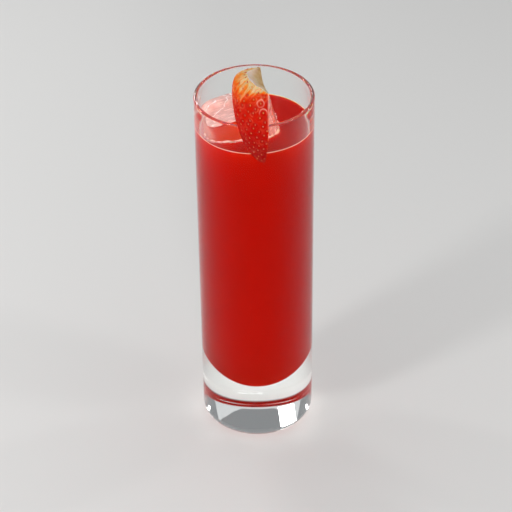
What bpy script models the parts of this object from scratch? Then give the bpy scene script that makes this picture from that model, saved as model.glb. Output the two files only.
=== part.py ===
# Strawberry collins: a tall straight glass with a thick base, filled with red
# strawberry drink, with one large ice cube standing out of the drink and half a
# strawberry slit onto the rim.
# Metres, +Z up. The origin is the middle of the ground foot. The shown side
# faces -Y, with +X to the right.
import math

import bmesh
import bpy
import numpy as np
from mathutils import Matrix, Vector, noise

MM = 0.001

# Glass
HEIGHT = 172.0 * MM
RIM_RADIUS = 26.0 * MM
BASE_RADIUS = 25.6 * MM
HEEL_RADIUS = 6.0 * MM
RIM_WALL = 1.6 * MM
BOWL_RADIUS = 23.8 * MM
FLOOR = 21.5 * MM
BOWL_DEPTH = 44.0 * MM
GLASS_SIDES = 72
HEEL_STEPS = 5
RIM_STEPS = 6
BOWL_STEPS = 12

# Drink
FILL_BELOW_RIM = 14.5 * MM
LEVEL = HEIGHT - FILL_BELOW_RIM
GAP = 0.3 * MM

# Ice cube
ICE_SIZE = (30.5 * MM, 25.0 * MM, 28.0 * MM)
ICE_UPRIGHT_EDGE = 7.0 * MM
ICE_FLAT_EDGE = 2.6 * MM
ICE_WALL_CLEAR = 1.2 * MM
ICE_TILT = math.radians(14.0)
ICE_TURN = math.radians(8.0)
ICE_TOP_MIDDLE = Vector((-8.4 * MM, -1.9 * MM, HEIGHT - 4.2 * MM))
ICE_MELT = 0.45 * MM
ICE_MELT_SPAN = 9.0 * MM
ICE_MELT_PLACE = Vector((3.0, 5.0, 7.0))

# Strawberry half: tip down outside the glass, cut face to the right
BERRY_LENGTH = 39.4 * MM
BERRY_RADIUS = 13.1 * MM
BERRY_TIP = Vector((4.0 * MM, -29.2 * MM, HEIGHT - 15.6 * MM))
BERRY_LEAN = math.radians(17.0)
BERRY_TURN = math.radians(9.5)
TIP_POWER = 0.52
TOP_POWER = 0.17
BERRY_SIDES = 108
BERRY_RINGS = 62
SEED_COUNT = 320
SEED_TIP_CROWD = 1.2
SEED_PIT_RADIUS = 0.95 * MM
SEED_PIT_DEPTH = 0.5 * MM
LUMP_DEPTH = 0.5 * MM
LUMP_SPAN = 11.0 * MM
LUMP_PLACE = Vector((2.0, 0.0, 1.0))
SLIT_REACH = 3.0 * MM
SCOOP_RADIUS = 24.0 * MM
SCOOP_MIDDLE = Vector((10.0 * MM, -8.4 * MM, BERRY_LENGTH + 15.4 * MM))
GOLDEN_ANGLE = math.pi * (3.0 - math.sqrt(5.0))
AREA_SAMPLES = 400

TINY = 0.001 * MM


def clear_scene():
    for old in list(bpy.context.scene.objects):
        bpy.data.objects.remove(old, do_unlink=True)


def make_material(name, colour, roughness, transmission=0.0, ior=1.45):
    material = bpy.data.materials.new(name)
    material.use_nodes = True
    shader = material.node_tree.nodes["Principled BSDF"]
    shader.inputs["Base Color"].default_value = (*colour, 1.0)
    shader.inputs["Roughness"].default_value = roughness
    shader.inputs["Metallic"].default_value = 0.0
    shader.inputs["Transmission Weight"].default_value = transmission
    shader.inputs["IOR"].default_value = ior
    return material


def make_object(name, shape, material=None):
    """Turn a bmesh into an object with smooth round faces and sharp creases."""
    bmesh.ops.recalc_face_normals(shape, faces=shape.faces)
    mesh = bpy.data.meshes.new(name)
    shape.to_mesh(mesh)
    shape.free()
    mesh.shade_smooth()
    mesh.set_sharp_from_angle(angle=math.radians(35.0))
    thing = bpy.data.objects.new(name, mesh)
    bpy.context.scene.collection.objects.link(thing)
    if material is not None:
        mesh.materials.append(material)
    return thing


def make_cutter(thing):
    thing.hide_render = True
    thing.display_type = "WIRE"
    return thing


def cut_by(thing, cutter):
    """Keep the cut as a live Boolean, which the build evaluates."""
    cut = thing.modifiers.new("cut_" + cutter.name, "BOOLEAN")
    cut.operation = "DIFFERENCE"
    cut.solver = "EXACT"
    cut.object = cutter


def arc(centre, radii, start, end, steps):
    """Points of an elliptical arc in the r-z plane, angles in degrees."""
    points = []
    for step in range(steps + 1):
        angle = math.radians(start + (end - start) * step / steps)
        points.append((centre[0] + radii[0] * math.cos(angle),
                       centre[1] + radii[1] * math.sin(angle)))
    return points


def revolve(profile, sides):
    """Spin an open r-z profile that starts and ends on the axis."""
    shape = bmesh.new()
    corners = [shape.verts.new((r, 0.0, z)) for r, z in profile]
    edges = [shape.edges.new(pair) for pair in zip(corners, corners[1:])]
    bmesh.ops.spin(shape, geom=corners + edges, cent=(0.0, 0.0, 0.0), axis=(0.0, 0.0, 1.0),
                   angle=math.tau, steps=sides, use_merge=True)
    bmesh.ops.remove_doubles(shape, verts=shape.verts, dist=TINY)
    return shape


# Glass and drink

def bowl_profile(inset):
    """The round bottom of the hollow, from the middle up to the straight wall."""
    return arc((0.0, FLOOR + BOWL_DEPTH), (BOWL_RADIUS - inset, BOWL_DEPTH - inset),
               -90.0, 0.0, BOWL_STEPS)


def glass_profile():
    heel = arc((BASE_RADIUS - HEEL_RADIUS, HEEL_RADIUS), (HEEL_RADIUS, HEEL_RADIUS),
               -90.0, 0.0, HEEL_STEPS)
    half_wall = RIM_WALL / 2.0
    rim = arc((RIM_RADIUS - half_wall, HEIGHT - half_wall), (half_wall, half_wall),
              0.0, 180.0, RIM_STEPS)
    bowl = bowl_profile(0.0)
    bowl.reverse()
    bowl[-1] = (0.0, FLOOR)
    return [(0.0, 0.0)] + heel + rim + bowl


def wall_radius(z):
    """Inner radius of the straight wall between the bowl and the rim."""
    low = FLOOR + BOWL_DEPTH
    high = HEIGHT - RIM_WALL / 2.0
    share = (z - low) / (high - low)
    return BOWL_RADIUS + share * (RIM_RADIUS - RIM_WALL - BOWL_RADIUS)


def drink_profile():
    bowl = bowl_profile(GAP)
    bowl[0] = (0.0, FLOOR + GAP)
    return bowl + [(wall_radius(LEVEL) - GAP, LEVEL), (0.0, LEVEL)]


def make_glass():
    material = make_material("clear_glass", (0.95, 0.97, 0.97), 0.02, transmission=1.0, ior=1.52)
    return make_object("glass", revolve(glass_profile(), GLASS_SIDES), material)


def make_drink():
    material = make_material("strawberry_drink", (0.62, 0.02, 0.006), 0.12)
    return make_object("drink", revolve(drink_profile(), GLASS_SIDES), material)


# Ice cube

def ice_shape(swell):
    """A cube with melted edges and faces, grown outwards by swell on every side."""
    shape = bmesh.new()
    bmesh.ops.create_cube(shape, size=1.0)
    size = [side + 2.0 * swell for side in ICE_SIZE]
    bmesh.ops.scale(shape, vec=size, verts=shape.verts)
    upright = [edge for edge in shape.edges
               if abs(edge.verts[0].co.z - edge.verts[1].co.z) > ICE_SIZE[2] / 2.0]
    bmesh.ops.bevel(shape, geom=upright, offset=ICE_UPRIGHT_EDGE + swell, segments=4, profile=0.5,
                    affect="EDGES", material=-1)
    flat_rims = [edge for edge in shape.edges
                 if abs(edge.verts[0].co.z - edge.verts[1].co.z) < TINY]
    bmesh.ops.bevel(shape, geom=flat_rims, offset=ICE_FLAT_EDGE + swell, segments=3, profile=0.5,
                    affect="EDGES", material=-1)
    lids = [face for face in shape.faces if len(face.verts) > 4]
    bmesh.ops.poke(shape, faces=lids)
    for corner in shape.verts:
        reach = corner.co / ICE_MELT_SPAN
        wobble = noise.noise_vector(reach + ICE_MELT_PLACE)
        corner.co += wobble * ICE_MELT
    top_to_middle = Matrix.Translation((0.0, 0.0, -ICE_SIZE[2] / 2.0))
    place = (Matrix.Translation(ICE_TOP_MIDDLE) @ Matrix.Rotation(ICE_TURN, 4, "Z")
             @ Matrix.Rotation(-ICE_TILT, 4, "Y") @ top_to_middle)
    bmesh.ops.transform(shape, matrix=place, verts=shape.verts)
    melt_to_wall(shape, swell)
    return shape


def melt_to_wall(shape, swell):
    """Where the cube leans on the glass, it has melted to the round of the wall."""
    for corner in shape.verts:
        reach = wall_radius(corner.co.z) - ICE_WALL_CLEAR + swell
        ring = math.hypot(corner.co.x, corner.co.y)
        if ring > reach:
            corner.co.x *= reach / ring
            corner.co.y *= reach / ring


def make_ice(drink):
    material = make_material("ice", (0.93, 0.80, 0.78), 0.15, transmission=0.6, ior=1.31)
    ice = make_object("ice_cube", ice_shape(0.0), material)
    socket = make_cutter(make_object("ice_socket", ice_shape(GAP)))
    cut_by(drink, socket)
    return ice


# Strawberry

def berry_radius(share):
    """Radius at a share of the length, 0 at the tip and 1 at the hull end."""
    fattest = TIP_POWER / (TIP_POWER + TOP_POWER)
    most = fattest ** TIP_POWER * (1.0 - fattest) ** TOP_POWER
    return BERRY_RADIUS * share ** TIP_POWER * (1.0 - share) ** TOP_POWER / most


def berry_profile():
    """Rings lie closer together at both round ends."""
    points = []
    for ring in range(BERRY_RINGS + 1):
        share = 0.5 - 0.5 * math.cos(math.pi * ring / BERRY_RINGS)
        points.append((berry_radius(share), share * BERRY_LENGTH))
    points[0] = (0.0, 0.0)
    points[-1] = (0.0, BERRY_LENGTH)
    return points


def seed_places():
    """Seeds on a golden-angle spiral over the skin's area, closer together at the tip."""
    shares = np.linspace(0.0, 1.0, AREA_SAMPLES)
    radii = np.array([berry_radius(share) for share in shares])
    slant = np.hypot(np.diff(radii), np.diff(shares) * BERRY_LENGTH)
    crowd = 1.0 + SEED_TIP_CROWD * (1.0 - (shares[1:] + shares[:-1]) / 2.0)
    area = np.concatenate([[0.0], np.cumsum(crowd * slant * (radii[1:] + radii[:-1]) / 2.0)])
    places = []
    for index in range(SEED_COUNT):
        share = float(np.interp((index + 0.5) / SEED_COUNT * area[-1], area, shares))
        angle = index * GOLDEN_ANGLE
        radius = berry_radius(share)
        places.append(Vector((radius * math.cos(angle), radius * math.sin(angle),
                              share * BERRY_LENGTH)))
    return places


def press_seed_pits(shape):
    """Every seed sits in a shallow round pit, and the skin swells in soft lumps."""
    seeds = np.array([tuple(place) for place in seed_places()])
    shape.normal_update()
    moves = []
    for corner in shape.verts:
        distance = np.linalg.norm(seeds - np.array(corner.co), axis=1).min()
        pit = math.exp(-(distance / SEED_PIT_RADIUS) ** 2)
        lump = noise.noise(corner.co / LUMP_SPAN + LUMP_PLACE)
        moves.append(corner.normal * (lump * LUMP_DEPTH - pit * SEED_PIT_DEPTH))
    for corner, move in zip(shape.verts, moves):
        corner.co += move


def halve(shape):
    """Cut the berry lengthwise, drop the right half and close the cut."""
    everything = shape.verts[:] + shape.edges[:] + shape.faces[:]
    cut = bmesh.ops.bisect_plane(shape, geom=everything, dist=TINY, plane_co=(0.0, 0.0, 0.0),
                                 plane_no=(1.0, 0.0, 0.0), clear_outer=True)
    rim = [part for part in cut["geom_cut"] if isinstance(part, bmesh.types.BMEdge)]
    bmesh.ops.holes_fill(shape, edges=rim, sides=0)


def make_slit_cutter():
    """The stretch of glass wall that sits in the berry's slit, with a gap all round."""
    inner = wall_radius(HEIGHT) - GAP
    outer = RIM_RADIUS + GAP
    low = BERRY_TIP.z - SLIT_REACH
    high = HEIGHT + GAP
    shape = bmesh.new()
    ring = [(inner, low), (outer, low), (outer, high), (inner, high)]
    corners = [shape.verts.new((r, 0.0, z)) for r, z in ring]
    edges = [shape.edges.new((corners[i], corners[i - 1])) for i in range(len(corners))]
    bmesh.ops.spin(shape, geom=corners + edges, cent=(0.0, 0.0, 0.0), axis=(0.0, 0.0, 1.0),
                   angle=math.tau, steps=GLASS_SIDES, use_merge=True)
    bmesh.ops.remove_doubles(shape, verts=shape.verts, dist=TINY)
    return make_cutter(make_object("slit", shape))


def make_hull_scoop(place):
    """The knife that took the leaves off left a shallow dish, towards the cut side."""
    shape = bmesh.new()
    bmesh.ops.create_uvsphere(shape, u_segments=40, v_segments=24, radius=SCOOP_RADIUS)
    bmesh.ops.translate(shape, vec=SCOOP_MIDDLE, verts=shape.verts)
    bmesh.ops.transform(shape, matrix=place, verts=shape.verts)
    return make_cutter(make_object("hull_scoop", shape))


def make_strawberry():
    shape = revolve(berry_profile(), BERRY_SIDES)
    bmesh.ops.recalc_face_normals(shape, faces=shape.faces)
    press_seed_pits(shape)
    halve(shape)
    place = (Matrix.Translation(BERRY_TIP) @ Matrix.Rotation(-BERRY_LEAN, 4, "X")
             @ Matrix.Rotation(BERRY_TURN, 4, "Z"))
    bmesh.ops.transform(shape, matrix=place, verts=shape.verts)
    material = make_material("strawberry", (0.75, 0.07, 0.015), 0.3)
    strawberry = make_object("strawberry", shape, material)
    cut_by(strawberry, make_slit_cutter())
    cut_by(strawberry, make_hull_scoop(place))
    return strawberry


def main():
    clear_scene()
    make_glass()
    drink = make_drink()
    make_ice(drink)
    make_strawberry()


main()
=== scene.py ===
import math
import random

import bmesh
import bpy
import numpy as np
from mathutils import Matrix, Vector, noise
from mathutils.bvhtree import BVHTree


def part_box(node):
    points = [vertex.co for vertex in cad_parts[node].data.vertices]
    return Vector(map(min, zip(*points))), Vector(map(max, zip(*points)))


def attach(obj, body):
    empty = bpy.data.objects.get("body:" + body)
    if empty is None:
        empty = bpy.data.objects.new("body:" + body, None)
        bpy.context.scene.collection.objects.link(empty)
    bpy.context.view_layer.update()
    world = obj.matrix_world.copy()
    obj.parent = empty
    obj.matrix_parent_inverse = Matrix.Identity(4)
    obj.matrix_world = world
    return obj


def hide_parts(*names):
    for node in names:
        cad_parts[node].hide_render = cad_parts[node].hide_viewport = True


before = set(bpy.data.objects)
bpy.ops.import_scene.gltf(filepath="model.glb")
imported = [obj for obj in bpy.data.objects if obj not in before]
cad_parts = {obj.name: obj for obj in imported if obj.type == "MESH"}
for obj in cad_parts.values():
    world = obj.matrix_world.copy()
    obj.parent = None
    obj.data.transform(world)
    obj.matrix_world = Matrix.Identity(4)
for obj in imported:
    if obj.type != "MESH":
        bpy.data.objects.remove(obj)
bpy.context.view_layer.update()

mm = 0.001
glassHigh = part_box("glass")[1]
rimRadius = glassHigh.x
glassHeight = glassHigh.z
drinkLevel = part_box("drink")[1].z
goldenAngle = math.pi * (3.0 - math.sqrt(5.0))
mergeDistance = 0.001 * mm
# the ice melts into the same relief each run
noise.seed_set(5)


# Shared helpers

def hexColour(code):
    # sRGB hex to the linear colour that nodes take
    channels = [int(code[i:i + 2], 16) / 255.0 for i in (1, 3, 5)]
    linear = [c / 12.92 if c <= 0.04045 else ((c + 0.055) / 1.055) ** 2.4 for c in channels]
    return (*linear, 1.0)


def addNode(tree, kind, inputs=None, **settings):
    # an input is a value, an output, or a node whose first output in use is meant
    node = tree.nodes.new("ShaderNode" + kind)
    for name, value in settings.items():
        setattr(node, name, value)
    for socket, source in (inputs or {}).items():
        if isinstance(source, (bpy.types.Node, bpy.types.NodeSocket)):
            addLink(tree, source, node, socket)
        else:
            node.inputs[socket].default_value = source
    return node


def addLink(tree, source, node, socket):
    # a source is an output, or a node whose first output in use is meant
    if isinstance(source, bpy.types.Node):
        source = next(output for output in source.outputs if output.enabled)
    tree.links.new(source, node.inputs[socket])


def setRamp(node, stops):
    # stops are (place, hex colour) pairs
    ramp = node.color_ramp
    while len(ramp.elements) < len(stops):
        ramp.elements.new(0.5)
    for element, (place, code) in zip(ramp.elements, stops):
        element.position = place
        element.color = hexColour(code)


def startMaterial(name, **values):
    material = bpy.data.materials.new(name)
    material.use_nodes = True
    tree = material.node_tree
    shader = tree.nodes["Principled BSDF"]
    for socket, value in values.items():
        shader.inputs[socket.replace("_", " ")].default_value = value
    return material, tree, shader


def lightThrough(material, tint):
    # light reaches what lies behind a clear piece directly, without caustic noise
    tree = material.node_tree
    path = addNode(tree, "LightPath")
    clear = addNode(tree, "BsdfTransparent", {"Color": hexColour(tint)})
    mixed = addNode(tree, "MixShader",
                    {0: path.outputs["Is Shadow Ray"], 1: tree.nodes["Principled BSDF"], 2: clear})
    addLink(tree, mixed, tree.nodes["Material Output"], "Surface")


def makePiece(name, shape, materials, creaseAngle=40.0):
    mesh = bpy.data.meshes.new(name)
    shape.to_mesh(mesh)
    shape.free()
    for material in materials:
        mesh.materials.append(material)
    mesh.shade_smooth()
    mesh.set_sharp_from_angle(angle=math.radians(creaseAngle))
    piece = bpy.data.objects.new(name, mesh)
    bpy.context.scene.collection.objects.link(piece)
    return piece


def cutAway(piece, cutters):
    # the cutters' own materials line the cut faces
    for cutter in cutters:
        cut = piece.modifiers.new(cutter.name, "BOOLEAN")
        cut.operation = "DIFFERENCE"
        cut.solver = "EXACT"
        cut.material_mode = "TRANSFER"
        cut.object = cutter
    graph = bpy.context.evaluated_depsgraph_get()
    cutMesh = bpy.data.meshes.new_from_object(piece.evaluated_get(graph))
    piece.modifiers.clear()
    piece.data = cutMesh
    for cutter in cutters:
        bpy.data.objects.remove(cutter, do_unlink=True)


def arcPoints(centre, radii, start, end, steps):
    points = []
    for step in range(steps + 1):
        angle = math.radians(start + (end - start) * step / steps)
        points.append((centre[0] + radii[0] * math.cos(angle),
                       centre[1] + radii[1] * math.sin(angle)))
    return points


def spinProfile(points, sides, closed=False):
    shape = bmesh.new()
    corners = [shape.verts.new((r, 0.0, z)) for r, z in points]
    edges = [shape.edges.new(pair) for pair in zip(corners, corners[1:])]
    if closed:
        edges.append(shape.edges.new((corners[-1], corners[0])))
    bmesh.ops.spin(shape, geom=corners + edges, cent=(0, 0, 0), axis=(0, 0, 1), angle=math.tau,
                   steps=sides, use_merge=True)
    bmesh.ops.remove_doubles(shape, verts=shape.verts, dist=mergeDistance)
    bmesh.ops.recalc_face_normals(shape, faces=shape.faces)
    return shape


def finishPiece(piece, slot, *nodes):
    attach(piece, "root")
    if nodes:
        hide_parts(*nodes)
    print("made", piece.name, len(piece.data.polygons), "faces")


# Camera: the photograph's own viewpoint, 36 degrees down on the rim

cameraSettings = {"lens": 146.55, "sensor": 36.0, "distance": 764.6 * mm, "aboveRim": 464.9 * mm,
                  "pitch": 35.73, "roll": -0.69, "clipStart": 10.0 * mm}


def makeCamera():
    c = cameraSettings
    camera = bpy.data.objects.new("camera", bpy.data.cameras.new("camera"))
    camera.data.sensor_width = c["sensor"]
    camera.data.lens = c["lens"]
    place = Matrix.Translation((0.0, -c["distance"], glassHeight + c["aboveRim"]))
    tilt = Matrix.Rotation(math.radians(90.0 - c["pitch"]), 4, "X")
    roll = Matrix.Rotation(math.radians(c["roll"]), 4, "Z")
    camera.matrix_world = place @ tilt @ roll
    camera.data.clip_start = c["clipStart"]
    bpy.context.scene.collection.objects.link(camera)
    bpy.context.scene.camera = camera


# Glass: machine-made soda-lime glass, fire polished, with a thick base

glassSettings = {"wall": 1.6 * mm, "heel": 6.0 * mm, "baseRadius": 25.6 * mm,
                 "bowlRadius": 23.8 * mm, "floor": 21.5 * mm, "bowlDepth": 44.0 * mm,
                 "sides": 256, "heelSteps": 20, "wallSteps": 24, "rimSteps": 18, "bowlSteps": 44,
                 # the wall's own reflections are dimmed, so that no haze lies over the drink,
                 # and the top of the rim and the heel keep theirs
                 "wallGloss": "#282828", "edgeGloss": "#FFFFFF", "glossyRim": 1.3 * mm}


def glassBowl(grow):
    g = glassSettings
    return arcPoints((0.0, g["floor"] + g["bowlDepth"]),
                     (g["bowlRadius"] + grow, g["bowlDepth"] + grow),
                     -90.0, 0.0, g["bowlSteps"])


def innerRadius(z):
    g = glassSettings
    low = g["floor"] + g["bowlDepth"]
    share = (z - low) / (glassHeight - g["wall"] / 2.0 - low)
    return g["bowlRadius"] + share * (rimRadius - g["wall"] - g["bowlRadius"])


def glassMaterial(name, gloss):
    # soda-lime glass, fire polished: clear, colourless and mirror smooth
    material, tree, shader = startMaterial(name, Base_Color=hexColour("#FBFDFC"), IOR=1.52,
                                           Specular_Tint=hexColour(gloss), Roughness=0.0,
                                           Transmission_Weight=1.0)
    place = addNode(tree, "TexCoord").outputs["Object"]
    # faint drawn waviness of the wall, about 12 mm long
    wave = addNode(tree, "TexNoise", {"Vector": place, "Scale": 80.0, "Detail": 1.0})
    bump = addNode(tree, "Bump", {"Height": wave, "Strength": 0.04, "Distance": 0.4 * mm})
    addLink(tree, bump, shader, "Normal")
    lightThrough(material, "#F2F4F3")
    return material


def makeGlass():
    g = glassSettings
    heel = arcPoints((g["baseRadius"] - g["heel"], g["heel"]), (g["heel"], g["heel"]),
                     -90.0, 0.0, g["heelSteps"])
    low = heel[-1]
    halfWall = g["wall"] / 2.0
    wall = [(low[0] + (rimRadius - low[0]) * i / g["wallSteps"],
             low[1] + (glassHeight - halfWall - low[1]) * i / g["wallSteps"])
            for i in range(1, g["wallSteps"])]
    rim = arcPoints((rimRadius - halfWall, glassHeight - halfWall), (halfWall, halfWall),
                    0.0, 180.0, g["rimSteps"])
    bowl = glassBowl(0.0)
    bowl.reverse()
    bowl[-1] = (0.0, g["floor"])
    shape = spinProfile([(0.0, 0.0)] + heel + wall + rim + bowl, g["sides"])
    materials = [glassMaterial("sodaLimeGlassWall", g["wallGloss"]),
                 glassMaterial("sodaLimeGlassEdges", g["edgeGloss"])]
    glass = makePiece("clear_glass", shape, materials, creaseAngle=60.0)
    for face in glass.data.polygons:
        if face.center.z > glassHeight - g["glossyRim"] or face.center.z < g["heel"]:
            face.material_index = 1
    finishPiece(glass, "clear_glass", "glass")


# Drink: cloudy strawberry juice with lemon and spirit, up to its level

drinkSettings = {"intoWall": 0.12 * mm, "intoIce": 0.1 * mm, "sides": 320, "rings": 60,
                 # it climbs the glass in a small arc and the ice unevenly, and its top ripples
                 "wallMeniscus": 0.8 * mm, "wallTurn": (-8.0, -90.0), "wallTurnSteps": 12,
                 "iceMeniscus": 0.8 * mm, "iceMeniscusReach": 0.8 * mm, "uneven": 0.9,
                 "scallop": 1.4 * mm, "ripple": 0.05 * mm, "rippleSpan": 7.0 * mm,
                 # faces of the open top: how far below the level they end, and how far they face up
                 "topDepth": 0.2 * mm, "topFacing": 0.05,
                 # heights above the level between which the pale line of froth and painted meniscus
                 # highlight sets in
                 "froth": (0.30 * mm, 0.55 * mm),
                 # the drink's colours: behind the glass; on top, painted darker, a painted shade
                 # against the light from above; and round the ice, paler and more orange, a painted
                 # glow of the light the ice carries in
                 "wallColours": ("#B40A02", "#BC0E03", "#CE2A10"),
                 "shadedTopColours": ("#A00802", "#A60A02", "#B41E0C"),
                 "glowIceColours": ("#F45A06", "#F66A0C", "#FA7C1C")}


def drinkMaterial(name, colours, roughness, specular):
    # cloudy fruit juice: light goes in a few millimetres and comes back red
    material, tree, shader = startMaterial(name, IOR=1.35, Roughness=roughness,
                                           Specular_IOR_Level=specular,
                                           Subsurface_Weight=1.0, Subsurface_Scale=12.0 * mm,
                                           Subsurface_Radius=(1.0, 0.22, 0.08))
    place = addNode(tree, "TexCoord").outputs["Object"]
    cloud = addNode(tree, "TexNoise",
                    {"Vector": place, "Scale": 38.0, "Detail": 2.0, "Roughness": 0.45})
    height = addNode(tree, "SeparateXYZ", {0: place})
    # painted glow: the drink is paler and more orange low down and towards the top, where the light
    # glows in
    glowLow = addNode(tree, "MapRange",
                     {"Value": height.outputs["Z"], "From Min": 20.0 * mm, "From Max": 90.0 * mm,
                      "To Min": 0.45, "To Max": 0.0})
    glowHigh = addNode(tree, "MapRange",
                      {"Value": height.outputs["Z"], "From Min": drinkLevel - 22.0 * mm,
                       "From Max": drinkLevel, "To Max": 0.4})
    ends = addNode(tree, "Math", {0: glowLow, 1: glowHigh}, operation="ADD")
    share = addNode(tree, "Math", {0: cloud, 1: 0.35, 2: ends}, operation="MULTIPLY_ADD")
    ramp = addNode(tree, "ValToRGB", {"Fac": share})
    setRamp(ramp, list(zip((0.05, 0.45, 1.0), colours)))
    # a pale line where the drink climbs the glass and the ice: fine froth, and a painted highlight
    # of the meniscus
    start, full = drinkSettings["froth"]
    froth = addNode(tree, "MapRange",
                    {"Value": height.outputs["Z"], "From Min": drinkLevel + start,
                     "From Max": drinkLevel + full})
    tinted = addNode(tree, "Mix", {"Factor": froth, "A": ramp, "B": hexColour("#F9BBAB")},
                     data_type="RGBA")
    addLink(tree, tinted, shader, "Base Color")
    return material


def drinkBody(iceTree):
    d = drinkSettings
    bowl = glassBowl(d["intoWall"])
    bowl[0] = (0.0, glassSettings["floor"] - d["intoWall"])
    wallRadius = innerRadius(drinkLevel) + d["intoWall"]
    curl = d["wallMeniscus"]
    edge = arcPoints((wallRadius - curl - d["intoWall"], drinkLevel + curl), (curl, curl),
                     *d["wallTurn"], d["wallTurnSteps"])
    top = [(edge[-1][0] * (1.0 - i / d["rings"]), drinkLevel) for i in range(1, d["rings"])]
    profile = bowl + [(wallRadius, edge[0][1])] + edge + top + [(0.0, drinkLevel)]
    shape = spinProfile(profile, d["sides"])
    # ripples, and the drink climbs a little up the ice
    for corner in shape.verts:
        if corner.co.z < drinkLevel - mergeDistance:
            continue
        away = iceTree.find_nearest(corner.co)[3]
        uneven = 1.0 + d["uneven"] * noise.noise(corner.co / d["scallop"])
        climb = d["iceMeniscus"] * uneven * math.exp(-away / d["iceMeniscusReach"])
        sway = noise.noise(corner.co / d["rippleSpan"]) * d["ripple"]
        inward = min(1.0, (wallRadius - Vector(corner.co[:2]).length) / curl)
        corner.co.z += (climb + sway) * max(0.0, inward)
    return shape


def makeDrink(iceTree):
    d = drinkSettings
    # where it wets the glass and the ice it has no gloss of its own, and its top is mirror smooth
    wallDrink = drinkMaterial("cloudyDrinkOnGlass", d["wallColours"], roughness=0.5, specular=0.0)
    # its top is painted darker: painted shade against the light from above
    openDrink = drinkMaterial("cloudyDrinkSurface", d["shadedTopColours"], roughness=0.03, specular=0.3)
    # round the ice the drink is painted paler and more orange: a painted glow of the light the ice
    # carries in
    paintedGlowDrink = drinkMaterial("paintedGlowDrinkAtIce", d["glowIceColours"], roughness=0.5, specular=0.0)
    drink = makePiece("strawberry_drink", drinkBody(iceTree), [wallDrink, openDrink],
                      creaseAngle=50.0)
    for face in drink.data.polygons:
        if face.center.z > drinkLevel - d["topDepth"] and face.normal.z > d["topFacing"]:
            face.material_index = 1
    cutAway(drink, [makePiece("iceSocket", iceShape(-d["intoIce"]), [paintedGlowDrink])])
    finishPiece(drink, "strawberry_drink", "drink")


# Ice: one large clear cube, melted round, with a frosted and cracked top

iceSettings = {"size": (30.5 * mm, 25.0 * mm, 28.0 * mm), "tilt": 14.0, "turn": 8.0,
               "topMiddle": Vector((-8.4 * mm, -1.9 * mm, glassHeight - 4.2 * mm)),
               "uprightEdge": 7.0 * mm, "uprightSteps": 10, "flatEdge": 2.6 * mm, "flatSteps": 6,
               "wallClear": 1.2 * mm, "faceStep": 0.9 * mm,
               # melted relief, wide and fine
               "melt": 0.45 * mm, "meltSpan": 9.0 * mm, "meltPlace": Vector((3.0, 5.0, 7.0)),
               "dimple": 0.12 * mm, "dimpleSpan": 2.6 * mm,
               # cracks: how far and how often they bend, how far off its plane a line starts to
               # fade and is gone, and how soon it ends. Each is a plane through the block: its
               # direction, its place along that, and the stretch of the block's Y it shows in
               "crackBend": 7.0 * mm, "crackBendScale": 190.0, "crackLine": (0.10 * mm, 0.30 * mm),
               "crackEnd": 1.0 * mm,
               "cracks": [((0.861, -0.511, 0.0), -5.5 * mm, -13.0 * mm, 13.0 * mm),
                          ((0.726, -0.688, 0.0), -11.6 * mm, 3.0 * mm, 9.0 * mm),
                          ((0.30, 0.954, 0.0), 9.2 * mm, 7.0 * mm, 12.0 * mm),
                          ((0.94, 0.34, 0.1), 10.5 * mm, -14.0 * mm, 12.0 * mm)]}


def icePlace():
    i = iceSettings
    return (Matrix.Translation(i["topMiddle"]) @ Matrix.Rotation(math.radians(i["turn"]), 4, "Z")
            @ Matrix.Rotation(math.radians(-i["tilt"]), 4, "Y")
            @ Matrix.Translation((0.0, 0.0, -i["size"][2] / 2.0)))


def iceShape(swell):
    i = iceSettings
    shape = bmesh.new()
    bmesh.ops.create_cube(shape, size=1.0)
    bmesh.ops.scale(shape, vec=[side + 2.0 * swell for side in i["size"]], verts=shape.verts)
    upright = [edge for edge in shape.edges
               if abs(edge.verts[0].co.z - edge.verts[1].co.z) > i["size"][2] / 2.0]
    bmesh.ops.bevel(shape, geom=upright, offset=i["uprightEdge"] + swell,
                    segments=i["uprightSteps"], profile=0.5, affect="EDGES", material=-1)
    flat = [edge for edge in shape.edges
            if abs(edge.verts[0].co.z - edge.verts[1].co.z) < mergeDistance]
    bmesh.ops.bevel(shape, geom=flat, offset=i["flatEdge"] + swell,
                    segments=i["flatSteps"], profile=0.5, affect="EDGES", material=-1)
    # even faces for the melted relief
    for axis in range(3):
        step = i["faceStep"]
        half = i["size"][axis] / 2.0
        place = -half + step
        while place < half:
            point = [0.0, 0.0, 0.0]
            normal = [0.0, 0.0, 0.0]
            point[axis] = place
            normal[axis] = 1.0
            bmesh.ops.bisect_plane(shape, geom=shape.verts[:] + shape.edges[:] + shape.faces[:],
                                   dist=mergeDistance, plane_co=point, plane_no=normal)
            place += step
    bmesh.ops.triangulate(shape, faces=[face for face in shape.faces if len(face.verts) > 4])
    shape.normal_update()
    block = shape.verts.layers.float_vector.new("block")
    moves = []
    for corner in shape.verts:
        # where each point lies in the untilted block, for the frost and the cracks
        corner[block] = corner.co
        melt = noise.noise_vector(corner.co / i["meltSpan"] + i["meltPlace"]) * i["melt"]
        dimple = noise.noise(corner.co / i["dimpleSpan"]) * i["dimple"]
        moves.append(melt + corner.normal * dimple)
    for corner, move in zip(shape.verts, moves):
        corner.co += move
    bmesh.ops.transform(shape, matrix=icePlace(), verts=shape.verts)
    # where it leans on the glass it has melted to the wall's round
    for corner in shape.verts:
        reach = innerRadius(corner.co.z) - i["wallClear"] + swell
        ring = math.hypot(corner.co.x, corner.co.y)
        if ring > reach:
            corner.co.x *= reach / ring
            corner.co.y *= reach / ring
    bmesh.ops.recalc_face_normals(shape, faces=shape.faces)
    return shape


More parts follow.
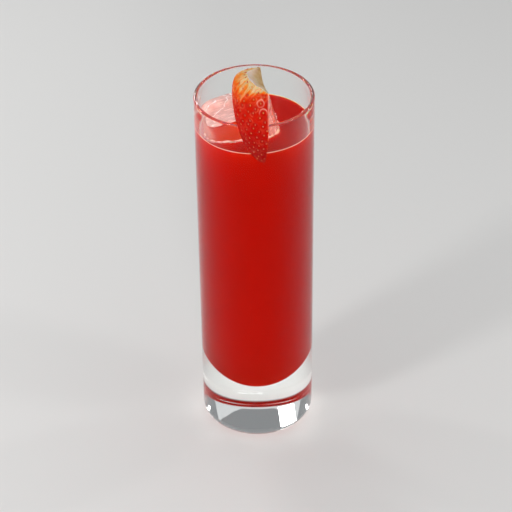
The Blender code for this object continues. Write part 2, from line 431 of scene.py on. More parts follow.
def addCrack(tree, block, bend, across, away, low, high):
    # the line of one crack on the faces, in its own stretch
    i = iceSettings
    bent = addNode(tree, "VectorMath", {0: block, 1: bend}, operation="ADD")
    side = addNode(tree, "VectorMath", {0: bent, 1: across}, operation="DOT_PRODUCT")
    shifted = addNode(tree, "Math", {0: side, 1: away}, operation="SUBTRACT")
    distance = addNode(tree, "Math", {0: shifted}, operation="ABSOLUTE")
    line = addNode(tree, "MapRange",
                   {"Value": distance, "From Min": i["crackLine"][0], "From Max": i["crackLine"][1],
                    "To Min": 1.0, "To Max": 0.0})
    spot = addNode(tree, "SeparateXYZ", {0: block})
    start = addNode(tree, "MapRange",
                    {"Value": spot.outputs["Y"], "From Min": low - i["crackEnd"], "From Max": low})
    end = addNode(tree, "MapRange",
                  {"Value": spot.outputs["Y"], "From Min": high, "From Max": high + i["crackEnd"],
                   "To Min": 1.0, "To Max": 0.0})
    stretch = addNode(tree, "Math", {0: start, 1: end}, operation="MULTIPLY")
    return addNode(tree, "Math", {0: line, 1: stretch}, operation="MULTIPLY")


def iceMaterial():
    # clear ice, frozen in a mould and starting to melt: wet gloss, its top frosted and cracked
    material, tree, shader = startMaterial("wetClearIce", IOR=1.31,
                                           Specular_Tint=hexColour("#A0A0A0"))
    block = addNode(tree, "Attribute", attribute_name="block").outputs["Vector"]
    haze = addNode(tree, "TexNoise",
                   {"Vector": block, "Scale": 140.0, "Detail": 3.0, "Roughness": 0.6})
    # fine scratches run along the block, about 0.5 mm apart
    combed = addNode(tree, "Mapping",
                     {"Vector": block, "Rotation": (0.0, 0.0, -0.5),
                      "Scale": (250.0, 1800.0, 900.0)})
    scratches = addNode(tree, "TexNoise",
                        {"Vector": combed, "Scale": 1.0, "Detail": 2.0, "Distortion": 0.6})
    scratch = addNode(tree, "MapRange", {"Value": scratches, "From Min": 0.55, "From Max": 0.68})
    # a few cracks cross the block, each broken into short bright stretches
    i = iceSettings
    bent = addNode(tree, "TexNoise", {"Vector": block, "Scale": i["crackBendScale"], "Detail": 2.0})
    bend = addNode(tree, "VectorMath", {0: bent.outputs["Color"], 1: [i["crackBend"]] * 3},
                   operation="MULTIPLY")
    half = addNode(tree, "VectorMath", {0: bend, 1: [i["crackBend"] / 2.0] * 3},
                   operation="SUBTRACT")
    crack = None
    for across, away, low, high in i["cracks"]:
        one = addCrack(tree, block, half, across, away, low, high)
        if crack is not None:
            one = addNode(tree, "Math", {0: crack, 1: one}, operation="MAXIMUM")
        crack = one
    speckle = addNode(tree, "TexNoise", {"Vector": block, "Scale": 900.0, "Detail": 1.0})
    broken = addNode(tree, "MapRange", {"Value": speckle, "From Min": 0.40, "From Max": 0.52})
    line = addNode(tree, "Math", {0: crack, 1: broken}, operation="MULTIPLY")
    # the top is frosted all over, and the end away from the wall in its sides too
    normal = addNode(tree, "NewGeometry")
    facing = addNode(tree, "SeparateXYZ", {0: normal.outputs["Normal"]})
    top = addNode(tree, "MapRange",
                  {"Value": facing.outputs["Z"], "From Min": 0.66, "From Max": 0.76,
                   "To Max": 0.78})
    spot = addNode(tree, "SeparateXYZ", {0: block})
    end = addNode(tree, "MapRange",
                  {"Value": spot.outputs["X"], "From Min": 6.0 * mm, "From Max": 12.0 * mm,
                   "To Max": 0.43})
    corner = addNode(tree, "MapRange",
                     {"Value": spot.outputs["X"], "From Min": -10.5 * mm, "From Max": -14.0 * mm,
                      "To Max": 0.35})
    sides = addNode(tree, "Math", {0: end, 1: corner}, operation="MAXIMUM")
    frosted = addNode(tree, "Math", {0: top, 1: sides}, operation="MAXIMUM")
    grain = addNode(tree, "Math", {0: scratch, 1: 0.4, 2: haze}, operation="MULTIPLY_ADD")
    lifted = addNode(tree, "Math", {0: grain, 1: 0.25}, operation="ADD")
    skin = addNode(tree, "Math", {0: lifted, 1: frosted}, operation="MULTIPLY")
    bright = addNode(tree, "Math", {0: line, 1: frosted}, operation="MULTIPLY")
    frost = addNode(tree, "Math", {0: bright, 1: 0.6, 2: skin}, operation="MULTIPLY_ADD",
                    use_clamp=True)
    clear = addNode(tree, "MapRange", {"Value": frost, "To Min": 0.97, "To Max": 0.05})
    addLink(tree, clear, shader, "Transmission Weight")
    matt = addNode(tree, "MapRange", {"Value": frost, "To Min": 0.02, "To Max": 0.35})
    addLink(tree, matt, shader, "Roughness")
    # the frost is painted pink, a painted glow of the red drink under it, its cracks are white, and
    # the clear edge below it is painted dark red, a painted refraction of the drink seen through it
    tint = addNode(tree, "Mix",
                   {"Factor": bright, "A": hexColour("#F4CFC5"), "B": hexColour("#FFFFFF")},
                   data_type="RGBA")
    rising = addNode(tree, "MapRange",
                     {"Value": facing.outputs["Z"], "From Min": 0.50, "From Max": 0.56})
    ending = addNode(tree, "MapRange",
                     {"Value": facing.outputs["Z"], "From Min": 0.60, "From Max": 0.66,
                      "To Min": 1.0, "To Max": 0.0})
    paintedDrinkBand = addNode(tree, "Math", {0: rising, 1: ending}, operation="MULTIPLY")
    drinkPaintedEdge = addNode(tree, "Mix", {"Factor": paintedDrinkBand, "A": tint, "B": hexColour("#C2352A")},
                    data_type="RGBA")
    addLink(tree, drinkPaintedEdge, shader, "Base Color")
    bump = addNode(tree, "Bump", {"Height": grain, "Strength": 0.3, "Distance": 0.15 * mm})
    addLink(tree, bump, shader, "Normal")
    lightThrough(material, "#F4F0EF")
    return material


def makeIce():
    # the drink and the bubbles follow the body that this returns
    body = iceShape(0.0)
    tree = BVHTree.FromBMesh(body)
    ice = makePiece("ice_block", body, [iceMaterial()], creaseAngle=70.0)
    finishPiece(ice, "ice", "ice_cube")
    return tree


# Bubbles where the drink meets the ice, and splashes high on the glass

bubbleSettings = {"count": 150, "radius": (0.12 * mm, 0.34 * mm), "from": 175.0, "to": 345.0,
                  # they gather in groups: how narrow these are, and how many bubbles are kept
                  "groups": 4.0, "shown": 0.55, "shownStray": 0.6,
                  # clear of the ice and the wall, and afloat on the drink's climb up the ice
                  "fromIce": 0.5 * mm, "fromWall": 0.3 * mm, "iceAt": 0.3 * mm,
                  "climb": 0.35 * mm, "climbReach": 0.5 * mm, "afloat": 0.3,
                  "colour": "#FFE9E2", "clarity": 0.6}
# each splash: degrees round the glass, depth below the rim, and radius
splashSettings = {"places": [(163.0, 6.0 * mm, 0.6 * mm), (172.0, 8.4 * mm, 0.8 * mm),
                             (179.0, 4.4 * mm, 0.5 * mm), (186.0, 7.4 * mm, 0.7 * mm)],
                  "tall": 1.7, "flat": 0.25, "sag": 0.3, "intoWall": 0.03 * mm,
                  "sides": (24, 16), "colour": "#FBEDE7", "clarity": 0.45}


def frothMaterial(name, colour, clarity):
    # froth of thin watery juice: wet, pale and half clear
    material = startMaterial(name, Base_Color=hexColour(colour), IOR=1.33, Roughness=0.03,
                             Transmission_Weight=clarity)[0]
    lightThrough(material, colour)
    return material


def makeBubbles(iceTree):
    # thin-walled bubbles crowd along the front of the ice, at the drink's level
    b = bubbleSettings
    rng = random.Random(4)
    top = iceSettings["topMiddle"]
    middle = Vector((top.x, top.y, drinkLevel + b["iceAt"]))
    shape = bmesh.new()
    for step in range(b["count"]):
        turn = math.radians(b["from"] + (b["to"] - b["from"]) * (step + rng.random()) / b["count"])
        group = noise.noise(Vector((turn * b["groups"], 0.0, 1.0)))
        if group > b["shown"] - rng.random() * b["shownStray"]:
            continue
        towards = Vector((math.cos(turn), math.sin(turn), 0.0))
        spot, normal = iceTree.ray_cast(middle + towards * 2.0 * rimRadius, -towards)[:2]
        size = rng.uniform(*b["radius"])
        outwards = Vector((normal.x, normal.y, 0.0)).normalized()
        place = spot + outwards * (size + rng.random() * b["fromIce"])
        if math.hypot(place.x, place.y) > innerRadius(drinkLevel) - size - b["fromWall"]:
            continue
        climb = b["climb"] * math.exp(-(place - spot).length / b["climbReach"])
        place.z = drinkLevel + climb + b["afloat"] * size
        bmesh.ops.create_icosphere(shape, subdivisions=2, radius=size,
                                   matrix=Matrix.Translation(place))
    material = frothMaterial("frothBubble", b["colour"], b["clarity"])
    finishPiece(makePiece("froth_bubbles", shape, [material]), "strawberry_drink")


def makeSplashes():
    s = splashSettings
    shape = bmesh.new()
    for turn, below, size in s["places"]:
        z = glassHeight - below
        place = (Matrix.Rotation(math.radians(turn), 4, "Z")
                 @ Matrix.Translation((innerRadius(z) + s["intoWall"], 0.0, z))
                 @ Matrix.Diagonal((size * s["flat"], size, size * s["tall"], 1.0)))
        made = bmesh.ops.create_uvsphere(shape, u_segments=s["sides"][0], v_segments=s["sides"][1],
                                         radius=1.0)
        # only the half that bulges into the glass
        for corner in made["verts"]:
            corner.co.x = min(corner.co.x, 0.0)
            # gravity gathers the froth low in each splash
            corner.co.y *= 1.0 - s["sag"] * corner.co.z
        bmesh.ops.transform(shape, matrix=place, verts=made["verts"])
    bmesh.ops.remove_doubles(shape, verts=shape.verts, dist=mergeDistance)
    bmesh.ops.dissolve_degenerate(shape, edges=shape.edges, dist=mergeDistance)
    bmesh.ops.recalc_face_normals(shape, faces=shape.faces)
    material = frothMaterial("splashedFroth", s["colour"], s["clarity"])
    finishPiece(makePiece("splashes", shape, [material]), "strawberry_drink")


# Strawberry: half a ripe berry, leaves scooped off, slit onto the rim

berrySettings = {"length": 39.4 * mm, "radius": 13.1 * mm, "tipPower": 0.52, "topPower": 0.17,
                 "tip": Vector((4.0 * mm, -29.2 * mm, glassHeight - 15.6 * mm)),
                 "lean": 17.0, "turn": 9.5, "around": 200, "along": 250, "acrossCut": 48,
                 # lumps in the skin, and how fast they and the pits fade in from both ends
                 "lump": 0.5 * mm, "lumpSpan": 11.0 * mm, "lumpPlace": Vector((2.0, 0.0, 1.0)),
                 "endFade": 6.0,
                 # the dish where the leaves were, a little rough, and the slit for the rim
                 "scoopMiddle": Vector((10.0 * mm, -8.4 * mm, 54.8 * mm)),
                 "scoopRadius": 24.0 * mm, "scoopRough": 0.03, "scoopRoughSpan": 3.0 * mm,
                 "scoopSides": (96, 64),
                 "slitGap": 0.3 * mm, "slitReach": 3.0 * mm, "slitSides": 144,
                 # the cut face: a hollow core, rough and slightly sunk flesh, and a pale edge
                 "coreHollow": 0.5 * mm, "coreShare": 0.62, "coreSpread": 0.2,
                 "cutRough": 0.12 * mm, "cutRoughSpan": 2.2 * mm, "cutSunk": 0.1 * mm,
                 "cutEdge": 0.4 * mm, "edgeFrom": 0.4, "edgeRise": 3.0,
                 # seeds in a spiral, closer at the tip, each in a pit with a low ring round it:
                 # the ring's place and width in pit radii, and its height, more in the hull's
                 # half, where its painted highlight shows fully too
                 "seeds": 320, "tipCrowd": 1.2, "seedStray": 0.28 * mm, "seedEnds": (0.004, 0.996),
                 "pitRadius": 0.75 * mm, "pitDepth": 0.42 * mm, "ringPlace": 1.8, "ringWidth": 0.4,
                 "ring": 0.13 * mm, "hullRing": 0.30 * mm, "tipMark": 0.2,
                 "hullFrom": 0.5, "hullSpan": 0.2,
                 # two rings on the front carry a painted highlight, each round a seed: share of the
                 # length, degrees from the cut's front edge, radius, and how bright the painted
                 # highlight is at its top and bottom
                 "glintRings": [(0.731, 15.0, 1.4 * mm, 0.55, 0.40),
                               (0.627, 11.0, 1.6 * mm, 1.0, -0.4)],
                 "glintLine": 0.17 * mm, "glintTall": 1.25, "glintHeight": 0.12 * mm,
                 "glintStray": 0.2 * mm, "glintSpan": 1.5 * mm, "glintEven": 0.9, "glintBroken": 0.8,
                 # how far from the dish the skin stays cream, and over what length it then reddens:
                 # first at the front of the berry, then on the side away from the cut, which
                 # ripened less, with the angles between which one passes into the other
                 "creamFront": 2.4 * mm, "creamSide": 0.2 * mm,
                 "spanFront": 1.2 * mm, "spanSide": 12.5 * mm,
                 "riseStart": math.radians(6.0), "riseEnd": math.radians(25.0),
                 "turnStart": math.radians(20.0), "turnEnd": math.radians(66.0), "tipFrom": 0.8}


def berryPlace():
    b = berrySettings
    return (Matrix.Translation(b["tip"]) @ Matrix.Rotation(math.radians(-b["lean"]), 4, "X")
            @ Matrix.Rotation(math.radians(b["turn"]), 4, "Z"))


def berryRadius(share):
    b = berrySettings
    fattest = b["tipPower"] / (b["tipPower"] + b["topPower"])
    most = fattest ** b["tipPower"] * (1.0 - fattest) ** b["topPower"]
    share = np.clip(share, 0.0, 1.0)
    return b["radius"] * share ** b["tipPower"] * (1.0 - share) ** b["topPower"] / most


def seedPlaces():
    # golden-angle spiral over the skin, closer at the tip: place, outward direction and share
    b = berrySettings
    shares = np.linspace(0.0, 1.0, 400)  # fine enough to add up the skin's area
    radii = berryRadius(shares)
    slant = np.hypot(np.diff(radii), np.diff(shares) * b["length"])
    crowd = 1.0 + b["tipCrowd"] * (1.0 - (shares[1:] + shares[:-1]) / 2.0)
    area = np.concatenate([[0.0], np.cumsum(crowd * slant * (radii[1:] + radii[:-1]) / 2.0)])
    share = np.interp((np.arange(b["seeds"]) + 0.5) / b["seeds"] * area[-1], area, shares)
    angle = np.arange(b["seeds"]) * goldenAngle
    # no seed sits quite in its row
    rng = np.random.default_rng(5)
    share = np.clip(share + rng.normal(0.0, b["seedStray"] / b["length"], b["seeds"]),
                    *b["seedEnds"])
    angle = angle + rng.normal(0.0, b["seedStray"] / b["radius"], b["seeds"])
    radius = berryRadius(share)
    step = 0.002
    slope = (berryRadius(share + step) - berryRadius(share - step)) / (2.0 * step * b["length"])
    places = np.stack([radius * np.cos(angle), radius * np.sin(angle), share * b["length"]], axis=1)
    outward = np.stack([np.cos(angle), np.sin(angle), -slope], axis=1)
    outward /= np.linalg.norm(outward, axis=1)[:, None]
    return places, outward, share


def skinPoint(share, angle):
    radius = berryRadius(share)
    # angle 0 is the front edge of the cut, pi the back edge
    high = share * berrySettings["length"]
    return np.stack([-radius * np.sin(angle), -radius * np.cos(angle), high], axis=-1)


def skinLift(points, shares):
    # how far the skin stands out at each point, and how much the point is in a pit or on a ring
    b = berrySettings
    nearest = np.full(len(points), 1.0)
    for seed in seedPlaces()[0]:
        nearest = np.minimum(nearest, np.linalg.norm(points - seed, axis=1))
    nearest /= b["pitRadius"]
    pit = np.exp(-nearest ** 2)
    ring = np.exp(-((nearest - b["ringPlace"]) / b["ringWidth"]) ** 2)
    upper = np.clip((shares - b["hullFrom"]) / b["hullSpan"], 0.0, 1.0)
    ringHeight = b["ring"] + upper * (b["hullRing"] - b["ring"])
    ringMark = b["tipMark"] + upper * (1.0 - b["tipMark"])
    lump = np.array([noise.noise(Vector(p) / b["lumpSpan"] + b["lumpPlace"]) for p in points])
    fade = np.minimum(1.0, np.sin(np.pi * shares) * b["endFade"])
    glintRing = glintRings(points)
    lift = lump * b["lump"] + ring * ringHeight + glintRing * b["glintHeight"] - pit * b["pitDepth"]
    return lift * fade, {"pit": pit * fade, "ring": ring * ringMark * fade, "glintRing": glintRing}


def glintRings(points):
    # painted highlight rings, raised a little: taller than wide, not quite round, and broken in
    # places
    b = berrySettings
    places = seedPlaces()[0]
    glintRing = np.zeros(len(points))
    for share, turn, radius, top, bottom in b["glintRings"]:
        spot = skinPoint(share, math.radians(turn))
        seed = places[np.argmin(np.linalg.norm(places - spot, axis=1))]
        away = (points - seed) / (1.0, 1.0, b["glintTall"])
        distance = np.linalg.norm(away, axis=1)
        for near in np.flatnonzero(distance < 2.0 * radius):
            stray = noise.noise(Vector(points[near]) / b["glintSpan"])
            rise = 0.5 + 0.5 * away[near][2] / max(distance[near], mergeDistance)
            off = (distance[near] - radius - stray * b["glintStray"]) / b["glintLine"]
            shade = (bottom + (top - bottom) * rise) * (b["glintEven"] + b["glintBroken"] * stray)
            glintRing[near] = max(glintRing[near], math.exp(-off ** 2) * shade)
    return glintRing


def skinGrid(shares, angles):
    # displaced skin points on a rings x sides grid, with what the skin's colour follows
    share, angle = np.meshgrid(shares, angles, indexing="ij")
    points = skinPoint(share, angle)
    small, tiny = 1e-4, 1e-12
    alongSkin = (skinPoint(np.clip(share + small, 0.0, 1.0), angle)
                 - skinPoint(np.clip(share - small, 0.0, 1.0), angle))
    aroundSkin = np.stack([-np.cos(angle), np.sin(angle), np.zeros_like(angle)], axis=-1)
    normals = np.cross(alongSkin, aroundSkin)
    normals /= np.maximum(np.linalg.norm(normals, axis=-1), tiny)[..., None]
    ripe = ripeness(points, share, angle)
    lift, marks = skinLift(points.reshape(-1, 3), share.reshape(-1))
    points += normals * lift.reshape(share.shape)[..., None]
    points[:, 0, 0] = 0.0
    points[:, -1, 0] = 0.0
    marks = {name: mark.reshape(share.shape) for name, mark in marks.items()}
    return points, {"ripe": ripe, **marks}


def ripeness(points, share, angle):
    # 0 at the pale hull end, 1 where the skin is fully red, and on to 2 at the tip
    b = berrySettings
    scar = np.linalg.norm(points - np.array(b["scoopMiddle"]), axis=-1) - b["scoopRadius"]
    side = np.clip((angle - b["turnStart"]) / (b["turnEnd"] - b["turnStart"]), 0.0, 1.0)
    side = side * side * (3.0 - 2.0 * side)
    rise = np.clip((angle - b["riseStart"]) / (b["riseEnd"] - b["riseStart"]), 0.0, 1.0)
    cream = b["creamSide"] + rise * (1.0 - side) * (b["creamFront"] - b["creamSide"])
    span = b["spanFront"] + side * (b["spanSide"] - b["spanFront"])
    reddened = np.clip((scar - cream) / span, 0.0, 1.0)
    return reddened + np.clip(1.0 - share / b["tipFrom"], 0.0, 1.0)


def ringShares(count):
    # rings lie closer together at both round ends
    return 0.5 - 0.5 * np.cos(np.pi * np.linspace(0.0, 1.0, count + 1))


def gridPatch(across, along):
    # a flat grid with its row and column kept, to be laid onto the berry
    shape = bmesh.new()
    bmesh.ops.create_grid(shape, x_segments=across, y_segments=along, size=1.0)
    columns = [int(round((v.co.x + 1.0) / 2.0 * across)) for v in shape.verts]
    rows = [int(round((v.co.y + 1.0) / 2.0 * along)) for v in shape.verts]
    return shape, rows, columns


def skinMaterial():
    # ripe strawberry skin: thin, wet and shiny, deep red at the tip, orange and pale at the hull
    # end, with all its gloss in the film of water on it
    material, tree, shader = startMaterial("wetStrawberrySkin", IOR=1.34, Roughness=0.3,
                                           Specular_IOR_Level=0.0, Subsurface_Weight=0.3,
                                           Subsurface_Scale=2.0 * mm,
                                           Subsurface_Radius=(1.0, 0.35, 0.15), Coat_IOR=1.34,
                                           Coat_Weight=0.27, Coat_Roughness=0.06)
    ripe, pit, ring, edge = [
        addNode(tree, "Attribute", attribute_name=name).outputs["Fac"]
        for name in ("ripe", "pit", "ring", "edge")]
    place = addNode(tree, "TexCoord").outputs["Object"]
    patches = addNode(tree, "TexNoise", {"Vector": place, "Scale": 170.0, "Detail": 3.0})
    # wrinkles run aslant down from the hull, about 1.5 mm apart: the chart's sides are 41 and
    # 39 mm long
    chart = addNode(tree, "UVMap", uv_map="section")
    turned = addNode(tree, "Mapping",
                     {"Vector": chart, "Rotation": (0.0, 0.0, math.radians(-38.0)),
                      "Scale": (41.0, 39.0, 1.0)})
    combed = addNode(tree, "VectorMath", {0: turned, 1: (0.68, 0.12, 1.0)}, operation="MULTIPLY")
    wrinkles = addNode(tree, "TexNoise",
                       {"Vector": combed, "Scale": 1.0, "Detail": 2.0, "Distortion": 0.7})
    unripe = addNode(tree, "MapRange",
                     {"Value": ripe, "From Min": 0.35, "From Max": 1.15, "To Min": 1.0,
                      "To Max": 0.0})
    # both shift the ripening a little to and fro
    mottled = addNode(tree, "Math", {0: patches, 1: 0.5, 2: -0.25}, operation="MULTIPLY_ADD")
    streaked = addNode(tree, "Math", {0: wrinkles, 1: -1.5, 2: 0.75}, operation="MULTIPLY_ADD")
    streakedHull = addNode(tree, "Math", {0: streaked, 1: unripe}, operation="MULTIPLY")
    uneven = addNode(tree, "Math", {0: mottled, 1: streakedHull}, operation="ADD")
    shifted = addNode(tree, "Math", {0: ripe, 1: uneven}, operation="ADD")
    share = addNode(tree, "Math", {0: shifted, 1: 0.5}, operation="MULTIPLY")
    ramp = addNode(tree, "ValToRGB", {"Fac": share})
    setRamp(ramp, [(0.03, "#DFC18C"), (0.12, "#E8A656"), (0.22, "#F28226"), (0.37, "#F04E0A"),
                   (0.55, "#D21A02"), (0.74, "#C60B01"), (0.93, "#A20400")])
    # the crests of the wrinkles are peach
    crest = addNode(tree, "MapRange",
                    {"Value": wrinkles, "From Min": 0.54, "From Max": 0.66, "To Max": 0.7})
    crestHull = addNode(tree, "Math", {0: crest, 1: unripe}, operation="MULTIPLY")
    crested = addNode(tree, "Mix", {"Factor": crestHull, "A": ramp, "B": hexColour("#FBCB96")},
                      data_type="RGBA")
    # pits in the red skin are painted a shade deeper than the swellings between them: painted shade
    # in the pits
    redPit = addNode(tree, "Math", {0: pit, 1: ripe}, operation="MULTIPLY", use_clamp=True)
    shade = addNode(tree, "Math", {0: redPit, 1: 0.45}, operation="MULTIPLY")
    pitShaded = addNode(tree, "Mix", {"Factor": shade, "A": crested, "B": hexColour("#A41002")},
                   data_type="RGBA")
    # some of the rings round them get a painted highlight, paler than the skin
    ringGlintPick = addNode(tree, "TexNoise", {"Vector": place, "Scale": 330.0, "Detail": 1.0})
    some = addNode(tree, "MapRange",
                   {"Value": ringGlintPick, "From Min": 0.46, "From Max": 0.66, "To Max": 0.5})
    glintRing = addNode(tree, "Math", {0: ring, 1: some}, operation="MULTIPLY")
    ringGlinted = addNode(tree, "Mix", {"Factor": glintRing, "A": pitShaded, "B": hexColour("#FF8458")},
                     data_type="RGBA")
    # painted highlights on the two rings that catch the light
    glintRingMark = addNode(tree, "Attribute", attribute_name="glintRing").outputs["Fac"]
    stretched = addNode(tree, "Mix", {"Factor": glintRingMark, "A": ringGlinted, "B": hexColour("#FFC2AC")},
                        data_type="RGBA")
    # along the cut the pale flesh shows through the thin skin
    rimmed = addNode(tree, "Mix", {"Factor": edge, "A": stretched, "B": hexColour("#F6C3B2")},
                     data_type="RGBA")
    addLink(tree, rimmed, shader, "Base Color")
    relief = addNode(tree, "Math", {0: wrinkles, 1: unripe}, operation="MULTIPLY")
    rough = addNode(tree, "Math", {0: patches, 1: 0.35, 2: relief}, operation="MULTIPLY_ADD")
    bump = addNode(tree, "Bump", {"Height": rough, "Strength": 0.9, "Distance": 1.0 * mm})
    addLink(tree, bump, shader, "Normal")
    addLink(tree, bump, shader, "Coat Normal")
    return material


def fleshMaterial():
    # cut strawberry flesh: wet, pale at the core, with white strands running out to the skin
    material, tree, shader = startMaterial("cutStrawberryFlesh", IOR=1.4, Roughness=0.3,
                                           Subsurface_Weight=0.5, Subsurface_Scale=2.5 * mm,
                                           Subsurface_Radius=(1.0, 0.4, 0.25))
    chart = addNode(tree, "UVMap", uv_map="section")
    split = addNode(tree, "SeparateXYZ", {0: chart})
    across = addNode(tree, "Math", {0: split.outputs["X"]}, operation="ABSOLUTE")
    slanted = addNode(tree, "Math", {0: across, 1: -0.22, 2: split.outputs["Y"]},
                      operation="MULTIPLY_ADD")
    streakPlace = addNode(tree, "CombineXYZ", {"X": across, "Y": slanted})
    stretched = addNode(tree, "VectorMath", {0: streakPlace, 1: (1.4, 26.0, 1.0)},
                        operation="MULTIPLY")
    strands = addNode(tree, "TexNoise",
                      {"Vector": stretched, "Scale": 1.6, "Detail": 2.0, "Distortion": 0.3})
    strand = addNode(tree, "MapRange", {"Value": strands, "From Min": 0.52, "From Max": 0.68})
    base = addNode(tree, "ValToRGB", {"Fac": across})
    setRamp(base, [(0.0, "#F4CDB4"), (0.22, "#F1B096"), (0.5, "#E8654B"), (0.85, "#DA2A18"),
                   (1.0, "#C0120A")])
    veined = addNode(tree, "Mix", {"Factor": strand, "A": base, "B": hexColour("#F8D3BF")},
                     data_type="RGBA")
    addLink(tree, veined, shader, "Base Color")
    bump = addNode(tree, "Bump", {"Height": strands, "Strength": 0.4, "Distance": 0.25 * mm})
    addLink(tree, bump, shader, "Normal")
    return material


def hullMaterial():
    # flesh where the leaves were: cream to tan, soft and hardly wet
    material, tree, shader = startMaterial("paleHullFlesh", IOR=1.4, Roughness=0.38,
                                           Subsurface_Weight=0.4, Subsurface_Scale=2.0 * mm,
                                           Subsurface_Radius=(1.0, 0.6, 0.4))
    place = addNode(tree, "TexCoord").outputs["Object"]
    grain = addNode(tree, "TexNoise", {"Vector": place, "Scale": 220.0, "Detail": 3.0})
    ramp = addNode(tree, "ValToRGB", {"Fac": grain})
    setRamp(ramp, [(0.32, "#C4965A"), (0.50, "#D5B280"), (0.70, "#E6CDAA")])
    # the thin peak lets light through and looks pinkish white
    height = addNode(tree, "SeparateXYZ", {0: place})
    peak = addNode(tree, "MapRange",
                   {"Value": height.outputs["Z"], "From Min": glassHeight + 19.5 * mm,
                    "From Max": glassHeight + 22.8 * mm})
    tipped = addNode(tree, "Mix", {"Factor": peak, "A": ramp, "B": hexColour("#FBE3DA")},
                     data_type="RGBA")
    addLink(tree, tipped, shader, "Base Color")
    bump = addNode(tree, "Bump", {"Height": grain, "Strength": 0.4, "Distance": 0.25 * mm})
    addLink(tree, bump, shader, "Normal")
    return material


def makeSlitCutter(material):
    b = berrySettings
    inner = innerRadius(glassHeight) - b["slitGap"]
    outer = rimRadius + b["slitGap"]
    low = b["tip"].z - b["slitReach"]
    high = glassHeight + b["slitGap"]
    shape = spinProfile([(inner, low), (outer, low), (outer, high), (inner, high)],
                        b["slitSides"], closed=True)
    return makePiece("slit", shape, [material])


def makeScoopCutter(material):
    b = berrySettings
    shape = bmesh.new()
    around, along = b["scoopSides"]
    bmesh.ops.create_uvsphere(shape, u_segments=around, v_segments=along, radius=b["scoopRadius"])
    for corner in shape.verts:
        corner.co *= 1.0 + b["scoopRough"] * noise.noise(corner.co / b["scoopRoughSpan"])
    bmesh.ops.translate(shape, vec=b["scoopMiddle"], verts=shape.verts)
    bmesh.ops.transform(shape, matrix=berryPlace(), verts=shape.verts)
    return makePiece("scoop", shape, [material])


def makeSkin():
    b = berrySettings
    shares = ringShares(b["along"])
    angles = np.linspace(0.0, np.pi, b["around"] + 1)
    points, colouring = skinGrid(shares, angles)
    shape, rows, columns = gridPatch(b["around"], b["along"])
    layers = {name: shape.verts.layers.float.new(name) for name in (*colouring, "edge")}
    chart = shape.loops.layers.uv.new("section")
    chartPlaces = {}
    for corner, row, column in zip(shape.verts, rows, columns):
        corner.co = points[row, column]
        for name, shade in colouring.items():
            corner[layers[name]] = shade[row, column]
        fromCut = -points[row, column][0] / b["cutEdge"]
        high = min(1.0, max(0.0, (shares[row] - b["edgeFrom"]) * b["edgeRise"]))
        corner[layers["edge"]] = math.exp(-fromCut * fromCut) * high
        chartPlaces[corner] = (angles[column] / math.pi, shares[row])
    for face in shape.faces:
        for loop in face.loops:
            loop[chart].uv = chartPlaces[loop.vert]
    return shape, shares, points


def makeSection(shares, points):
    # the flat cut face, with the skin's own rings, so that both meet edge to edge
    b = berrySettings
    across = b["acrossCut"]
    patch, rows, columns = gridPatch(across, b["along"])
    places = {}
    for corner, row, column in zip(patch.verts, rows, columns):
        u = column / across * 2.0 - 1.0
        front, back = points[row, 0], points[row, -1]
        spot = front + (back - front) * column / across
        high = (shares[row] - b["coreShare"]) / b["coreSpread"]
        core = math.exp(-(u / b["coreSpread"]) ** 2 - high ** 2)
        rough = noise.noise(Vector(spot) / b["cutRoughSpan"]) * b["cutRough"] - b["cutSunk"]
        spot[0] = rough * (1.0 - u * u) - core * b["coreHollow"] if abs(u) < 1.0 else 0.0
        corner.co = spot
        places[corner] = (u, shares[row])
    chart = patch.loops.layers.uv.new("section")
    for face in patch.faces:
        face.material_index = 1
        for loop in face.loops:
            loop[chart].uv = places[loop.vert]
    mesh = bpy.data.meshes.new("section")
    patch.to_mesh(mesh)
    patch.free()
    return mesh


def makeBerry():
    shape, shares, points = makeSkin()
    section = makeSection(shares, points)
    shape.from_mesh(section)
    bpy.data.meshes.remove(section)
    bmesh.ops.remove_doubles(shape, verts=shape.verts, dist=mergeDistance)
    bmesh.ops.dissolve_degenerate(shape, edges=shape.edges, dist=mergeDistance)
    bmesh.ops.recalc_face_normals(shape, faces=shape.faces)
    bmesh.ops.transform(shape, matrix=berryPlace(), verts=shape.verts)
    skin, flesh, hull = skinMaterial(), fleshMaterial(), hullMaterial()
    berry = makePiece("strawberry_half", shape, [skin, flesh, hull], creaseAngle=50.0)
    cutAway(berry, [makeSlitCutter(flesh), makeScoopCutter(hull)])
    finishPiece(berry, "strawberry", "strawberry")


seedSettings = {"size": (0.34 * mm, 0.56 * mm, 0.22 * mm), "sizeStray": (0.85, 1.15),
                "sides": (8, 6), "pointed": 0.35, "raised": 0.2,
                # no seed where the berry is cut: the flat face, the dish, and the slit, which
                # ends above the rim
                "fromCut": 0.5 * mm, "fromDish": 0.5 * mm, "fromSlit": 1.1 * mm,
                "aboveRim": 1.0 * mm}


def seedMaterial():
    # strawberry seeds: hard, smooth and wet, yellow near the hull and stained red by the juice
    # further down
    material, tree, shader = startMaterial("strawberrySeed", Roughness=0.15, IOR=1.5)
    place = addNode(tree, "TexCoord").outputs["Object"]
    tint = addNode(tree, "TexNoise", {"Vector": place, "Scale": 210.0, "Detail": 0.0})
    height = addNode(tree, "SeparateXYZ", {0: place})
    yellowed = addNode(tree, "MapRange",
                       {"Value": height.outputs["Z"], "From Min": glassHeight - 4.0 * mm,
                        "From Max": glassHeight + 18.0 * mm, "To Min": -0.16, "To Max": 0.08})
    share = addNode(tree, "Math", {0: tint, 1: yellowed}, operation="ADD")
    ramp = addNode(tree, "ValToRGB", {"Fac": share})
    setRamp(ramp, [(0.38, "#CC4A32"), (0.58, "#D86036"), (0.76, "#DE9044")])
    addLink(tree, ramp, shader, "Base Color")
    return material


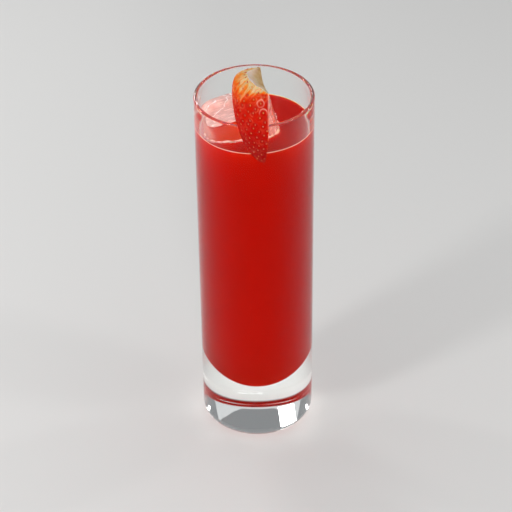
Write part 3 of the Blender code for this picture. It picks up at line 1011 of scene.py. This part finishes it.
def makeSeeds():
    b, s = berrySettings, seedSettings
    places, outward, shares = seedPlaces()
    lifts = skinLift(places, shares)[0]
    rng = random.Random(11)
    dish = np.array(b["scoopMiddle"])
    toWorld = berryPlace()
    shape = bmesh.new()
    for place, out, lift in zip(places, outward, lifts):
        fromDish = np.linalg.norm(place - dish) - b["scoopRadius"]
        if place[0] > -s["fromCut"] or fromDish < s["fromDish"]:
            continue
        spot = toWorld @ Vector(place)
        ring = Vector(spot[:2]).length
        nearSlit = innerRadius(glassHeight) - s["fromSlit"] < ring < rimRadius + s["fromSlit"]
        if nearSlit and spot.z < glassHeight + s["aboveRim"]:
            continue
        out = Vector(out)
        along = Vector((0.0, 0.0, 1.0)) - out * out.z
        along.normalize()
        side = along.cross(out)
        size = [length * rng.uniform(*s["sizeStray"]) for length in s["size"]]
        turn = Matrix((side, along, out)).transposed().to_4x4()
        raised = Vector(place) + out * (lift + s["raised"] * s["size"][2])
        made = bmesh.ops.create_uvsphere(shape, u_segments=s["sides"][0], v_segments=s["sides"][1],
                                         radius=1.0)
        # a seed is a drop, pointed towards the hull end
        for corner in made["verts"]:
            corner.co.x *= size[0] * (1.0 - s["pointed"] * corner.co.y)
            corner.co.y *= size[1]
            corner.co.z *= size[2]
        bmesh.ops.transform(shape, matrix=toWorld @ Matrix.Translation(raised) @ turn,
                            verts=made["verts"])
    bmesh.ops.recalc_face_normals(shape, faces=shape.faces)
    finishPiece(makePiece("strawberry_seeds", shape, [seedMaterial()]), "strawberry")


# Floor, background and lights: pale and plain

studioSettings = {"floor": "#DDDCDA", "floorRadius": 3.0, "floorDrop": 0.2 * mm,
                  "air": "#DADDE0", "airStrength": 0.36, "aim": Vector((0.0, 0.0, 0.10)),
                  # light runs along inside the glass wall for many bounces, which the usual limit
                  # of 4 turns black
                  "glossyBounces": 12,
                  # each lamp: name, place, width and height, and watts
                  "lamps": [("keyLeft", (-0.42, -0.34, 0.52), (0.08, 0.16), 1.1),
                            ("sideLeft", (-0.62, 0.30, 0.46), (0.06, 0.16), 0.6),
                            ("sideRight", (0.62, 0.30, 0.46), (0.06, 0.16), 0.5),
                            ("fillRight", (0.60, -0.20, 0.40), (0.10, 0.24), 0.7),
                            ("rimBack", (-0.30, 0.52, 0.46), (0.20, 0.20), 0.9),
                            ("ceiling", (0.0, 0.3, 3.0), (5.0, 5.0), 34.0),
                            ("frontLow", (0.05, -0.95, 0.34), (0.18, 0.18), 3.1)]}


def addSoftbox(name, place, size, watts):
    light = bpy.data.lights.new(name, "AREA")
    light.shape = "RECTANGLE"
    light.size, light.size_y = size
    light.energy = watts
    lamp = bpy.data.objects.new(name, light)
    lamp.location = place
    towards = studioSettings["aim"] - Vector(place)
    lamp.rotation_euler = towards.to_track_quat("-Z", "Y").to_euler()
    bpy.context.scene.collection.objects.link(lamp)


def makeStudio():
    s = studioSettings
    shape = bmesh.new()
    bmesh.ops.create_circle(shape, cap_ends=True, segments=96, radius=s["floorRadius"])
    material = startMaterial("paleMattTable", Base_Color=hexColour(s["floor"]), Roughness=0.55)[0]
    table = makePiece("table", shape, [material])
    table.location.z = -s["floorDrop"]
    world = bpy.data.worlds.new("studio")
    bpy.context.scene.world = world
    world.use_nodes = True
    air = world.node_tree.nodes["Background"]
    air.inputs["Color"].default_value = hexColour(s["air"])
    air.inputs["Strength"].default_value = s["airStrength"]
    for name, place, size, watts in s["lamps"]:
        addSoftbox(name, place, size, watts)
    bpy.context.scene.cycles.glossy_bounces = s["glossyBounces"]
    bpy.context.scene.view_settings.view_transform = "Standard"


makeCamera()
makeStudio()
print("camera and studio set")
makeGlass()
iceTree = makeIce()
makeDrink(iceTree)
makeBubbles(iceTree)
makeSplashes()
makeBerry()
makeSeeds()
